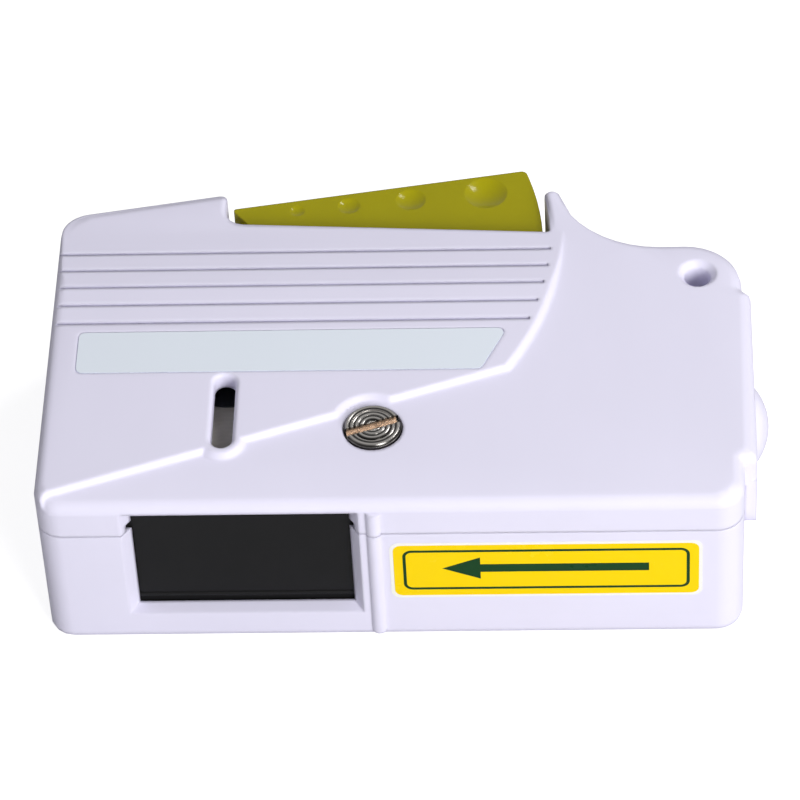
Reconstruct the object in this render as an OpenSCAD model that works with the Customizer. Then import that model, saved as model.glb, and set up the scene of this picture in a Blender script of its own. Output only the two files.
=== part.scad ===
// Cassette cleaner for fibre optic connectors: a thumb lever opens a shutter and winds a cleaning tape.
// The case lies on its rear face. X runs along the case, Y towards the lever, Z to the front cover.

/* [Case] */
// Length of the case without the tongue on its right end
case_l = 114.8; // [113:0.2:118]
// Thickness of the case at the raised panel
case_t = 33; // [33:0.2:36]
// Height of the front cover, from the parting line to the raised panel
cover_h = 8.07; // [7.6:0.01:8.4]
// Height of the raised panel above the rest of the front
step_h = 1; // [0.6:0.1:1.4]
// Thickness of the side walls
wall = 2.2; // [1.8:0.1:2.4]
// Thickness of the rear wall
floor_t = 2.2; // [1.8:0.1:2.6]
// Thickness of the front wall beside the raised panel
cover_wall = 2; // [1.6:0.1:2.4]
// Rounding of the front edges
front_r = 2; // [1:0.1:2.2]
// Rounding of the rear edges
rear_r = 1.5; // [0.8:0.1:2]
// Visible gap between the two shells
seam = 0.12; // [0.06:0.01:0.3]

/* [Outline] */
// Rounding of the lower left corner
left_r = 4.2; // [2:0.1:6]
// Rounding of the lower right corner
right_r = 4.6; // [2:0.1:6]
// Length of the hump over the lever's pivot
hump_l = 28.1; // [27:0.1:29.5]
// Height of the hump at the lever
hump_w = 73.5; // [72:0.1:75]
// Height of the upper left corner
shoulder_w = 68; // [67:0.1:69.5]
// Rounding of the upper left corner
shoulder_r = 5.5; // [3:0.1:7]
// Height of the notch floor at its left end
notch_left_w = 65.75; // [65:0.05:66.4]
// Height of the notch floor at its right end
notch_right_w = 62.5; // [62:0.1:63.2]
// Height of the horn
horn_w = 73.1; // [72:0.1:74]
// Width of the horn at its tip
horn_l = 2.6; // [2.2:0.1:3.4]
// Place of the strap lug's centre along the case
lug_x = 106.3; // [105.8:0.1:107]
// Height of the strap lug's centre
lug_y = 50.5; // [50:0.1:51.2]
// Outer radius of the strap lug
lug_r = 9.25; // [8.8:0.05:9.8]
// Radius of the sweep between lug and horn
sweep_r = 18.2; // [15:0.1:19]
// Radius of the strap hole
strap_r = 2.25; // [1.8:0.05:2.6]

/* [Front] */
// Width of the grooves in the panel
groove_w = 0.6; // [0.4:0.1:1]
// Depth of the grooves
groove_d = 0.5; // [0.3:0.1:0.7]
// Distance from groove to groove
groove_pitch = 4.28; // [4:0.01:4.5]
// Height of the lowest groove
groove_y = 41; // [40.6:0.1:41.6]
// Width of the viewing slot
slot_w = 3.6; // [3:0.1:4.2]
// Height of the slot's lower end
slot_y0 = 12.4; // [12:0.1:13.4]
// Height of the slot's upper end
slot_y1 = 28.6; // [26.6:0.1:28.8]
// Length of the name plate along its lower edge
plate_l = 67; // [60:0.5:68]
// Width of the name plate
plate_w = 9.3; // [8:0.1:10]

/* [Window] */
// Left end of the window at the shutter
window_x0 = 15.5; // [14.8:0.1:16.5]
// Right end of the window at the shutter
window_x1 = 50.9; // [50:0.1:51.2]
// Lower end of the window at the shutter
window_z0 = 6.85; // [6.6:0.05:7.6]
// Slant of the window's sides
window_bevel = 1.6; // [1:0.1:1.8]
// Length of the arrow sticker
sticker_l = 49.6; // [44:0.2:50]
// Width of the arrow sticker
sticker_w = 12; // [10:0.2:12.4]

/* [Lever] */
// Place of the lever's pivot along the case
pivot_x = 24; // [23.6:0.1:24.2]
// Height of the lever's pivot
pivot_y = 61.5; // [61.3:0.1:61.8]
// Distance of the lever's end from the pivot
lever_r = 58.3; // [57.6:0.1:58.6]
// Height of the lever's upper left corner
lever_y0 = 71.5; // [71:0.1:72]
// Height of the lever's upper right corner
lever_y1 = 80.2; // [79:0.1:81]
// Wall of the lever
lever_wall = 1.6; // [1.2:0.1:1.8]
// Radius of the largest thumb dimple
dimple_r = 3.7; // [3:0.1:4]

/* [Gears] */
// Gear module
module_mm = 0.8; // [0.8:0.001:0.804]
// Teeth of the pinion
pinion_n = 10;
// Teeth of the large gear on the pinion
big_n = 29;
// Teeth of the ratchet gear
ratchet_n = 35;
// Teeth of a full circle of the lever's sector
sector_n = 153;
// Thickness of a gear
gear_t = 1.4; // [1.2:0.05:1.45]

/* [Tape] */
// Width of the cleaning tape
tape_w = 16; // [14:0.2:16.4]
// Thickness of the tape
tape_t = 0.3; // [0.2:0.02:0.4]
// Radius of the full supply roll
supply_r = 18.5; // [16:0.1:19]
// Radius of the used tape on the take-up reel
takeup_r = 9.25; // [8.6:0.05:11]
// Radius of the supply reel's flange
supply_flange_r = 21; // [20:0.1:21.2]
// Radius of the take-up reel's flanges
takeup_flange_r = 18; // [16:0.1:18.4]
// Radius of the guide rollers
roller_r = 2.5; // [2.2:0.05:2.8]

/* [Coin screw] */
// Radius of the screw's head
screw_head_r = 4.75; // [4.4:0.05:5]
// Radius of the screw's shank
screw_r = 1.95; // [1.7:0.05:2]
// Width of the coin slot
coin_slot_w = 1.7; // [1.2:0.1:2]
// Radius of the latch button
button_r = 6.5; // [6:0.1:6.8]
// Height of the button's dome
dome_h = 2.4; // [1.8:0.1:2.8]

/* [Hidden] */
$fn = 64;

// One overrun serves all cuts
over = 1;
// Clearance of a running fit, on the radius
run_gap = 0.05;
// Clearance of a seated piece
seat_gap = 0.02;
// Clearance of a sliding piece
slide_gap = 0.15;
// Gap between flat faces that pass each other
pass_gap = 0.2;

// Heights of the shells
parting_z = case_t - cover_h;
rear_top = parting_z - seam / 2;
cover_bottom = parting_z + seam / 2;
low_top = case_t - step_h;
inner_z = low_top - cover_wall;

// Layers of the mechanism, from the rear wall to the front
pad_h = 0.3;
ratchet_z = floor_t + pad_h;
sector_z = ratchet_z + gear_t + pass_gap;
big_z = sector_z + gear_t + pass_gap;
frame_z = big_z + gear_t + pad_h;
frame_t = 1;
frame_top = frame_z + frame_t;
flange_t = 0.8;
reel_z = frame_top + pad_h;
tape_z = reel_z + flange_t + pad_h;
tape_top = tape_z + tape_w;
lever_z0 = floor_t + 1;
lever_side_gap = 0.4;
lever_z1 = inner_z - lever_side_gap;

// Small roundings of the outline
tip_r = 1.2;
crisp_r = 0.5;
notch_r = 3.3;
horn_gap = 1.1;
horn_face_r = lever_r + horn_gap;

// Tongue on the right end of the cover
tongue_t = 2.2;
tongue_y0 = 9.8;
tongue_y1 = 47.5;
tongue_z0 = 13.5;
tongue_r = 5;
lug_right = lug_x + lug_r;

// Centres of the mechanism
shutter_rim = 0.35;
shutter_t = 1.15;
shutter_face_y = wall + slide_gap + shutter_rim;
shutter_back_y = shutter_face_y + shutter_t;
rack_bar = 1.6;
addendum = 0.85 * module_mm;
dedendum = 1.15 * module_mm;
rack_pitch_y = shutter_back_y + rack_bar + dedendum;
pinion_r = module_mm * pinion_n / 2;
big_r = module_mm * big_n / 2;
ratchet_r = module_mm * ratchet_n / 2;
sector_r = module_mm * sector_n / 2;
pivot = [pivot_x, pivot_y];
gear_y = rack_pitch_y + big_r;
gear_reach = sector_r + pinion_r;
gear_c = [pivot_x + sqrt(pow(gear_reach, 2) - pow(pivot_y - gear_y, 2)), gear_y];
takeup_turn = 40;
takeup_c = gear_c + (pinion_r + ratchet_r) * [cos(takeup_turn), sin(takeup_turn)];
supply_c = [30, 36];
screw_c = [54.6, 17];
slot_x = supply_c.x;
pin_r = 1.5;
lever_pin_r = 2;
roller_pin_r = 1;
window_plate_y = shutter_back_y + slide_gap;
window_plate_t = 0.8;
tape_y = window_plate_y + window_plate_t + pass_gap;
roller_y = tape_y + tape_t + roller_r + run_gap;
roller_left_c = [9.5, roller_y];
roller_right_c = [60, roller_y];
strap_c = [108.2, 52];
button_c = [25, 23];

// Turns of the lever: the teeth that the sector needs
lever_swing = 12;

// Vector helpers
function unit(v) = v / norm(v);
function turn_left(v) = [-v.y, v.x];
function cross2(a, b) = a.x * b.y - a.y * b.x;
function polar(r, a) = r * [cos(a), sin(a)];
function radians(a) = a * PI / 180;

// Outline with filleted corners. A corner is [x, y, fillet radius, share of the inset on the next edge].
function corner_at(list, i, d) =
    let (n = len(list), p = [list[i].x, list[i].y],
        before = list[(i + n - 1) % n], after = list[(i + 1) % n],
        ua = unit(p - [before.x, before.y]), ub = unit([after.x, after.y] - p),
        na = turn_left(ua), nb = turn_left(ub), det = cross2(na, nb),
        da = d * before[3], db = d * list[i][3])
    abs(det) < 0.02 ? p + (na * da + nb * db) / 2
        : p + [da * nb.y - db * na.y, db * na.x - da * nb.x] / det;
function fillet_steps(r) = r < crisp_r ? 1 : r < notch_r + tip_r ? 4 : 9;
// A corner's fillet reaches along at most this share of its shorter side
reach_share = 0.92;
function fillet_path(list, d = 0) =
    let (n = len(list), corners = [for (i = [0 : n - 1]) corner_at(list, i, d)])
    [for (i = [0 : n - 1])
        let (p = corners[i], a = corners[(i + n - 1) % n], b = corners[(i + 1) % n],
            ua = unit(p - a), ub = unit(b - p),
            bend = atan2(cross2(ua, ub), ua * ub), way = bend < 0 ? -1 : 1,
            inset = d * (list[(i + n - 1) % n][3] + list[i][3]) / 2,
            wanted = max(list[i][2] - way * inset, seat_gap),
            reach = reach_share * min(norm(p - a), norm(b - p)),
            r = min(wanted, reach / max(abs(tan(bend / 2)), 0.01)),
            start = p - ua * r * abs(tan(bend / 2)),
            centre = start + turn_left(ua) * r * way,
            steps = fillet_steps(list[i][2]))
        for (k = [0 : steps])
            let (turned = bend * k / steps, arm = start - centre)
            centre + [arm.x * cos(turned) - arm.y * sin(turned), arm.x * sin(turned) + arm.y * cos(turned)]];

// Loft through rings of equal length. A ring is [inset, height].
module loft(list, rings) {
    paths = [for (ring = rings) fillet_path(list, ring[0])];
    n = len(paths[0]);
    points = [for (j = [0 : len(rings) - 1]) for (p = paths[j]) [p.x, p.y, rings[j][1]]];
    sides = [for (j = [0 : len(rings) - 2]) for (i = [0 : n - 1]) for (half = [0, 1])
        let (a = j * n + i, b = j * n + (i + 1) % n)
        half == 0 ? [a, a + n, b] : [b, a + n, b + n]];
    bottom = [for (i = [0 : n - 1]) i];
    top = [for (i = [n - 1 : -1 : 0]) (len(rings) - 1) * n + i];
    polyhedron(points, concat(sides, [bottom], [top]), convexity = 8);
}

// The outline's edges: the horn is slim, so its edges are rounded less
horn_share = 0.4;
function horn_face(a) = pivot + polar(horn_face_r, a);
horn_top_a = asin((horn_w - pivot_y) / horn_face_r);
horn_foot_a = asin((notch_right_w - pivot_y) / horn_face_r);
horn_steps = 3;
horn_x = horn_face(horn_top_a).x;
horn_spread = 2.2;
sweep_x = horn_x + horn_l + horn_spread * horn_l / 2 + horn_gap;
function upper_outline() = concat(
    [[lug_right, lug_y + lug_r, lug_r, 1],
        [sweep_x, lug_y + lug_r, sweep_r, 0.5],
        [horn_x + horn_l, horn_w, tip_r, horn_share],
        [horn_x, horn_w, tip_r, horn_share]],
    [for (k = [1 : horn_steps - 1])
        let (p = horn_face(horn_top_a + (horn_foot_a - horn_top_a) * k / horn_steps)) [p.x, p.y, 0, horn_share]],
    [[horn_face(horn_foot_a).x, notch_right_w, crisp_r, horn_share],
        [hump_l, notch_left_w, notch_r, horn_share],
        [hump_l, hump_w, tip_r, 1],
        [0, shoulder_w, shoulder_r, 1]]);
shoulder_step = lug_right - case_l;
function case_outline() = concat(
    [[0, 0, left_r, 1], [case_l, 0, right_r, 1],
        [case_l, tongue_y1 + slide_gap, crisp_r, 1],
        [lug_right, tongue_y1 + slide_gap + shoulder_step, crisp_r, 1]],
    upper_outline());
function cover_outline() = concat(
    [[0, 0, left_r, 1], [case_l, 0, right_r, 1],
        [case_l, tongue_y0, crisp_r, 1], [case_l + tongue_t, tongue_y0, tip_r, 1],
        [case_l + tongue_t, tongue_y1, crisp_r, 1],
        [lug_right, tongue_y1 + case_l + tongue_t - lug_right, crisp_r, 1]],
    upper_outline());

// The space inside the shells, up to the lever's opening
cavity_r = 2.4;
lug_flank = 12.5;
horn_root = 2;
hump_sill = 0.45;
lug_flank_share = 1.6;
function cavity_outline() = [
    [wall, wall, cavity_r, 1],
    [case_l - wall, wall, cavity_r, 1],
    [case_l - wall, lug_y + lug_r - lug_flank_share * lug_flank, 0, 1],
    [case_l - wall - lug_flank, lug_y + horn_root, 0, 1],
    [case_l - wall - lug_flank - horn_root, lug_y + lug_r - wall, 0, 1],
    [pivot_x + horn_face_r - slide_gap, lug_y + lug_r - wall, 0, 1],
    [pivot_x + horn_face_r - slide_gap, pivot_y - crisp_r, 0, 1],
    [hump_l - wall, pivot_y - crisp_r, 0, 1],
    [hump_l - wall, hump_w - wall - crisp_r, 0, 1],
    [wall, shoulder_w - wall, notch_r, 1]];
module slab(path, z0, z1) {
    translate([0, 0, z0]) linear_extrude(z1 - z0) polygon(path);
}
// The gap that the lever swings in: below the hump's wall at the pivot, open between hump and horn
gap_below = 3.5;
module lever_gap(z0, z1) {
    face = pivot_x + horn_face_r;
    sill = notch_left_w + hump_sill;
    above = hump_w + 2 * over;
    slab([[hump_l - 3 * wall, pivot_y - gap_below], [face - pass_gap, pivot_y - gap_below],
        [face - pass_gap - seam, notch_right_w + over], [face - notch_r - tip_r, above],
        [hump_l + over, above], [hump_l + over, sill], [hump_l - 3 * wall, sill]], z0, z1);
}
// The window, narrower at the shutter than outside
window_top = inner_z;
module window_cut() {
    out = wall + window_plate_t;
    bevel = window_bevel * (wall + over) / wall;
    slope_z = window_bevel / 2 * (wall + over) / wall;
    intersection() {
        slab([[window_x0, out], [window_x0, wall], [window_x0 - bevel, -over],
            [window_x1 + bevel, -over], [window_x1, wall], [window_x1, out]], 0, window_top);
        translate([window_x0 - 2 * bevel, 0, 0]) rotate([90, 0, 90])
            linear_extrude(window_x1 - window_x0 + 4 * bevel)
            polygon([[out, window_z0], [out, window_top], [-over, window_top],
                [-over, window_z0 - slope_z], [wall, window_z0]]);
    }
}
// The ridge beside the window, cut by each shell at the parting line
ridge_r = 1.3;
ridge_proud = 0.8;
ridge_gap = 4;
ridge_x = window_x1 + ridge_gap;
module ridge(z0, z1) {
    translate([ridge_x, ridge_r - ridge_proud, z0]) cylinder(r = ridge_r, h = z1 - z0);
}
module tube(c, r, hole, z0, z1) {
    translate([c.x, c.y, z0]) difference() {
        cylinder(r = r, h = z1 - z0);
        translate([0, 0, -over]) cylinder(r = hole, h = z1 - z0 + 2 * over);
    }
}
module rod(c, r, z0, z1) {
    translate([c.x, c.y, z0]) cylinder(r = r, h = z1 - z0);
}

// Posts of the rear case that carry the cartridge frame
post_r = 2.4;
frame_screw_r = 1;
frame_screw_head = 1.9;
frame_screw_l = 5;
post_inset = [[6.8, 11.8], [7.6, 47.4], [-9.6, 13]];
posts = [[wall + post_inset[0].x, wall + post_inset[0].y], [wall + post_inset[1].x, wall + post_inset[1].y],
    [case_l - wall + post_inset[2].x, wall + post_inset[2].y]];
// Post for the coin screw: a slim foot between the gears, a wider body that holds the insert
foot_r = 3.2;
body_r = 4.2;
insert_r = 3;
insert_l = 8;
insert_top = rear_top - run_gap;
spring_stop_r = 1.5;
spring_wire = 0.8;
spring_r = 4.6;
spring_drop = 8;
spring_z = lever_z0 + spring_drop;
spring_leg_l = 13.5;
spring_stop_c = [pivot_x - spring_leg_l, pivot_y - spring_r + spring_wire / 2 + spring_stop_r + run_gap];
lip_h = 1.5;
lip_t = 0.9;
rail_t = window_plate_t;
// Notch in the rear case's end wall for the button and the latch
button_flange = 0.8;
notch_half = button_r + button_flange + 2 * slide_gap;
notch_steps = 24;

// Walls of a shell, sunk a little into the plate with the rounded edge
root = 0.3;
module rear_walls() {
    difference() {
        slab(fillet_path(case_outline()), rear_r, rear_top);
        slab(fillet_path(cavity_outline()), floor_t, rear_top + over);
        lever_gap(floor_t, rear_top + over);
    }
}
module rear_plate() {
    loft(case_outline(), concat(
        [for (a = [0, 30, 60, 90]) [rear_r * (1 - sin(a)) + seat_gap, rear_r * (1 - cos(a))]],
        [[seat_gap, rear_r + root]]));
    for (p = posts) rod(p, post_r, floor_t / 2, frame_z);
    rod(screw_c, foot_r, floor_t / 2, frame_z + over);
    rod(screw_c, body_r, frame_z + crisp_r, insert_top);
    rod(spring_stop_c, spring_stop_r, floor_t / 2, spring_z + insert_l / 2);
    for (c = [gear_c, takeup_c]) rod(c, 2 * pin_r, floor_t / 2, floor_t + pad_h - run_gap);
    rod(pivot, 2 * lever_pin_r, floor_t / 2, lever_z0 - pass_gap);
    shutter_rail();
}
module rear_case() {
    color([0.93, 0.92, 0.97]) difference() {
        union() {
            rear_plate();
            rear_walls();
            rear_lip();
            ridge(rear_r, rear_top);
        }
        window_cut();
        strap_bore();
        for (c = [gear_c, takeup_c]) rod(c, pin_r + seat_gap / 2, floor_t / 2, frame_z);
        rod(pivot, lever_pin_r + seat_gap / 2, floor_t / 2, lever_z0);
        rod(screw_c, insert_r + seat_gap, insert_top - insert_l, insert_top + over);
        rod(screw_c, screw_r + slide_gap, frame_top, insert_top);
        for (p = posts) rod(p, frame_screw_r + seat_gap, frame_z - frame_screw_l, frame_z + over);
        latch_notch();
    }
}
module rear_lip() {
    difference() {
        slab(fillet_path(cavity_outline(), -lip_t), rear_top - over, rear_top + lip_h);
        slab(fillet_path(cavity_outline(), -run_gap), rear_top - 2 * over, rear_top + 2 * lip_h);
        translate([window_x0 - 2 * wall, 0, 0])
            cube([case_l, window_plate_y, case_t]);
        translate([hump_l - wall - lip_t, pivot_y - 2 * wall, 0]) cube([case_l, hump_w, case_t]);
        translate([case_l - wall - lip_t, button_c.x - 2 * notch_half, 0])
            cube([2 * wall, 4 * notch_half, case_t]);
        translate([lug_x - 2 * lug_r, lug_y - lug_r, 0]) cube([2 * case_l, case_l, case_t]);
    }
}
module strap_bore() {
    translate([strap_c.x, strap_c.y, -over]) cylinder(r = strap_r, h = case_t + 2 * over);
}
rail_x0 = window_x0 - wall;
rail_x1 = case_l - wall - left_r;
module shutter_rail() {
    translate([rail_x0, window_plate_y, floor_t / 2])
        cube([rail_x1 - rail_x0, rail_t, big_z - pass_gap - floor_t / 2]);
}
module latch_notch() {
    half = [for (k = [0 : notch_steps]) polar(notch_half, 180 * k / notch_steps - 90)];
    translate([case_l - 2 * wall, button_c.x, button_c.y]) rotate([90, 0, 90])
        linear_extrude(2 * wall + over)
        polygon(concat([for (p = half) [p.y, -p.x]], [[notch_half, case_t], [-notch_half, case_t]]));
}

// The raised panel's edge: an arc about the pivot, then a straight line to the left edge
panel_r = 60.8;
panel_corner = [76.4, 30.2];
panel_foot_y = 2;
panel_a0 = asin((panel_corner.y - pivot_y) / panel_r);
panel_ramp_y0 = 50;
panel_ramp_y1 = 63;
panel_steps = 10;
panel_root = inner_z + root / 3;

// Insets and heights of the rounded front edge; the last ring runs past the flat it is cut to
rim_share = 1.25;
function front_ring(a) = [front_r * (1 - cos(a)), -front_r * (1 - sin(a))];
function front_rings(inset, top) = [for (ring = concat([for (a = [0, 30, 60]) front_ring(a)],
    [front_ring(60) * (1 - rim_share) + front_ring(90) * rim_share])) ring + [inset, top]];
function panel_edge(grow) =
    let (slope = unit(panel_corner - [0, panel_foot_y]), away = [slope.y, -slope.x] * grow,
        foot = [0, panel_foot_y] + away, r = panel_r + grow, far = 2 * case_l)
    concat([foot - slope * far],
        [for (k = [0 : panel_steps])
            pivot + polar(r, panel_a0 + (5 - panel_a0) * k / panel_steps)],
        [[pivot_x + r, far], [-far, far]]);
module panel() {
    list_low = panel_edge(case_t - panel_root);
    list_high = panel_edge(-over);
    n = len(list_low);
    points = concat([for (p = list_low) [p.x, p.y, panel_root]], [for (p = list_high) [p.x, p.y, case_t + over]]);
    sides = [for (i = [0 : n - 1]) for (half = [0, 1])
        let (b = (i + 1) % n)
        half == 0 ? [i, i + n, b] : [b, i + n, b + n]];
    difference() {
        intersection() {
            loft(cover_outline(), concat([[0, parting_z]], front_rings(0, case_t)));
            polyhedron(points, concat(sides, [[for (i = [0 : n - 1]) i]],
                [[for (i = [n - 1 : -1 : 0]) n + i]]), convexity = 4);
        }
        panel_ramp();
    }
}
module panel_ramp() {
    fall = step_h / (panel_ramp_y1 - panel_ramp_y0);
    last = 2 * hump_w;
    translate([-over, 0, 0]) rotate([90, 0, 90]) linear_extrude(2 * case_l)
        polygon([[-last, case_t], [panel_ramp_y0, case_t], [last, case_t - fall * (last - panel_ramp_y0)],
            [last, 2 * case_t], [-last, 2 * case_t]]);
}
function panel_top(y) = case_t - step_h * max(0, y - panel_ramp_y0) / (panel_ramp_y1 - panel_ramp_y0);
function panel_end(y) = pivot_x + sqrt(pow(panel_r, 2) - pow(y - pivot_y, 2));
groove_n = 5;
groove_margin = 1.1;
module grooves() {
    for (k = [0 : groove_n - 1]) let (y = groove_y + k * groove_pitch)
        translate([-over, y - groove_w / 2, panel_top(y) - groove_d])
            cube([panel_end(y) - groove_margin + over, groove_w, case_t]);
}
slot_bevel = 0.5;
slot_lobe = 3.1;
module viewing_slot() {
    for (y = [slot_y0 + slot_w / 2, slot_y1 - slot_w / 2]) translate([slot_x, y, 0]) {
        translate([0, 0, inner_z - over]) cylinder(r = slot_w / 2, h = case_t);
        translate([0, 0, case_t - slot_bevel])
            cylinder(r1 = slot_w / 2, r2 = slot_w / 2 + 2 * slot_bevel, h = 2 * slot_bevel);
    }
    translate([slot_x - slot_w / 2, slot_y0 + slot_w / 2, inner_z - over])
        cube([slot_w, slot_y1 - slot_y0 - slot_w, case_t]);
    translate([slot_x, slot_y1 - slot_w / 2, case_t]) rotate([90, 0, 0])
        linear_extrude(slot_y1 - slot_y0 - slot_w)
        polygon([[-slot_w / 2, -slot_bevel], [slot_w / 2, -slot_bevel],
            [slot_w / 2 + 2 * slot_bevel, slot_bevel], [-slot_w / 2 - 2 * slot_bevel, slot_bevel]]);
}
// The coin screw's seat
head_t = 1.8;
head_proud = 0.7;
head_top = low_top + head_proud;
head_z = head_top - head_t;
screw_boss_r = 5.2;
retainer_t = 0.5;
retainer_r = 3.4;
retainer_z = insert_top + pass_gap;
screw_pitch = 0.7;
screw_turns = 3;
screw_rise = screw_pitch * screw_turns;
retainer_roof = retainer_z + retainer_t + screw_rise + pass_gap;
pocket_r = 6;
socket_h = 1;
axle_top = inner_z - crisp_r;
axle_seat = 1.5;
axle_boss_r = 2.4 * pin_r;
axle_boss_z = axle_top - axle_seat;
plate_sink = 0.15;
plate_z = case_t - plate_sink;
plate_proud = 0.05;
plate_y = 29.4;
plate_x = 5.1;
plate_slant = 4.3;
plate_corner = 1.1;
function plate_outline(gap) = fillet_path([
    [plate_x - gap, plate_y - gap, plate_corner, 1],
    [plate_x + plate_l + gap, plate_y - gap, plate_corner, 1],
    [plate_x + plate_l + plate_slant + gap, plate_y + plate_w + gap, plate_corner, 1],
    [plate_x - gap, plate_y + plate_w + gap, plate_corner, 1]]);

module cover_shell() {
    difference() {
        union() {
            difference() {
                loft(cover_outline(), concat([[seat_gap, inner_z - root]], front_rings(seat_gap, low_top)));
                translate([-over, -over, low_top]) cube([2 * case_l, 2 * case_l, case_t]);
            }
            slab(fillet_path(cover_outline()), cover_bottom, low_top - front_r);
        }
        slab(fillet_path(cavity_outline()), cover_bottom - over, inner_z);
        lever_gap(cover_bottom - over, inner_z);
        slab(fillet_path(cavity_outline(), -lip_t - slide_gap), cover_bottom - over,
            rear_top + lip_h + slide_gap);
    }
}
module front_cover() {
    color([0.94, 0.93, 0.98]) difference() {
        union() {
            cover_shell();
            panel();
            translate([slot_x, slot_y0 + slot_w / 2, inner_z + crisp_r])
                cylinder(r = slot_lobe + step_h, h = low_top - inner_z - crisp_r + seat_gap);
            translate([slot_x, slot_y0 + slot_w / 2, low_top])
                cylinder(r1 = slot_lobe + step_h, r2 = slot_lobe, h = step_h);
            ridge(cover_bottom, low_top - front_r);
            rod(screw_c, screw_boss_r, cover_bottom + pass_gap, inner_z + over);
            rod(takeup_c, axle_boss_r, axle_boss_z, inner_z + crisp_r);
            cover_rail();
            tongue();
        }
        window_cut();
        strap_bore();
        translate([strap_c.x, strap_c.y, low_top - step_h])
            cylinder(r1 = strap_r, r2 = strap_r + step_h, h = step_h + seat_gap);
        grooves();
        viewing_slot();
        slab(plate_outline(slide_gap), plate_z, case_t + over);
        translate([screw_c.x, screw_c.y, low_top]) cylinder(r1 = pocket_r, r2 = pocket_r + step_h, h = step_h + seat_gap);
        rod(screw_c, screw_head_r + pass_gap, head_z - pass_gap, case_t);
        rod(screw_c, screw_r + slide_gap, parting_z, case_t);
        rod(screw_c, retainer_r + pass_gap, cover_bottom - over, retainer_roof);
        rod(takeup_c, pin_r + 2 * run_gap, axle_boss_z - over, axle_top + run_gap);
        rod(pivot, lever_pin_r + 2 * run_gap, inner_z - over, inner_z + socket_h);
        button_seat();
    }
}
module cover_rail() {
    low = tape_top + roller_rim + 2 * pass_gap;
    translate([rail_x0 + 2 * wall, window_plate_y, low])
        cube([rail_x1 - rail_x0 - 2 * wall - lug_r, rail_t, inner_z + crisp_r - low]);
}
module tongue() {
    path = fillet_path([[tongue_y0, tongue_z0, tongue_r, 1], [tongue_y1, tongue_z0, tongue_r, 1],
        [tongue_y1, parting_z + over, seat_gap, 1], [tongue_y0, parting_z + over, seat_gap, 1]]);
    translate([case_l + slide_gap, 0, 0]) rotate([90, 0, 90]) linear_extrude(tongue_t - slide_gap) polygon(path);
}
flange_sink = 0.5;
flange_x = case_l + flange_sink;
module button_seat() {
    translate([case_l - 2 * wall, button_c.x, button_c.y]) rotate([0, 90, 0]) {
        cylinder(r = button_r + slide_gap, h = 4 * wall);
        cylinder(r = notch_half, h = 2 * wall + flange_x - case_l + button_flange + slide_gap);
    }
}

module name_plate() {
    color([0.8, 0.82, 0.85]) slab(plate_outline(0), plate_z, case_t + plate_proud);
}
sticker_t = 0.12;
sticker_gap = 6.9;
sticker_x = window_x1 + sticker_gap;
sticker_z = 10.2;
sticker_corner = 1.3;
module arrow_sticker() {
    color([0.99, 0.83, 0.01]) translate([sticker_x, 0, sticker_z]) rotate([90, 0, 0])
        linear_extrude(sticker_t) polygon(fillet_path([[0, 0, sticker_corner, 1], [sticker_l, 0, sticker_corner, 1],
            [sticker_l, sticker_w, sticker_corner, 1], [0, sticker_w, sticker_corner, 1]]));
}

// Coin screw with a turned face: rings round a slot for a coin
ring_w = 0.45;
ring_d = 0.12;
ring_pitch = 1.1;
head_edge = 0.35;
coin_slot_d = 1.1;
coin_turn = 20;
neck_d = 0.45;
neck_r = screw_r - neck_d;
screw_end = insert_top - insert_l + over;
module coin_screw() {
    color([0.5, 0.48, 0.46]) translate([screw_c.x, screw_c.y, 0]) difference() {
        union() {
            rotate_extrude() polygon([[0, head_z], [screw_head_r, head_z], [screw_head_r, head_top - head_edge],
                [screw_head_r - head_edge, head_top], [0, head_top]]);
            translate([0, 0, retainer_z + retainer_t + run_gap])
                cylinder(r = screw_r, h = head_z + crisp_r - retainer_z - retainer_t - run_gap);
            translate([0, 0, retainer_z - crisp_r]) cylinder(r = neck_r, h = retainer_t + 2 * crisp_r);
            translate([0, 0, screw_end]) cylinder(r = screw_r, h = retainer_z - run_gap - screw_end);
        }
        for (r = [ring_pitch : ring_pitch : screw_head_r - ring_pitch / 2]) translate([0, 0, head_top - ring_d])
            difference() {
                cylinder(r = r + ring_w / 2, h = over);
                translate([0, 0, -over]) cylinder(r = r - ring_w / 2, h = 3 * over);
            }
        rotate([0, 0, coin_turn]) translate([-screw_head_r - over, -coin_slot_w / 2, head_top - coin_slot_d])
            cube([2 * screw_head_r + 2 * over, coin_slot_w, coin_slot_d + over]);
    }
}
module screw_retainer() {
    color("silver") difference() {
        tube(screw_c, retainer_r, neck_r + run_gap, retainer_z, retainer_z + retainer_t);
        translate([screw_c.x, screw_c.y - neck_r / 2, retainer_z - over]) cube([retainer_r + over, neck_r, 3 * over]);
    }
}
module screw_insert() {
    color([0.8, 0.65, 0.3]) tube(screw_c, insert_r, screw_r + run_gap, insert_top - insert_l, insert_top);
}

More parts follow.
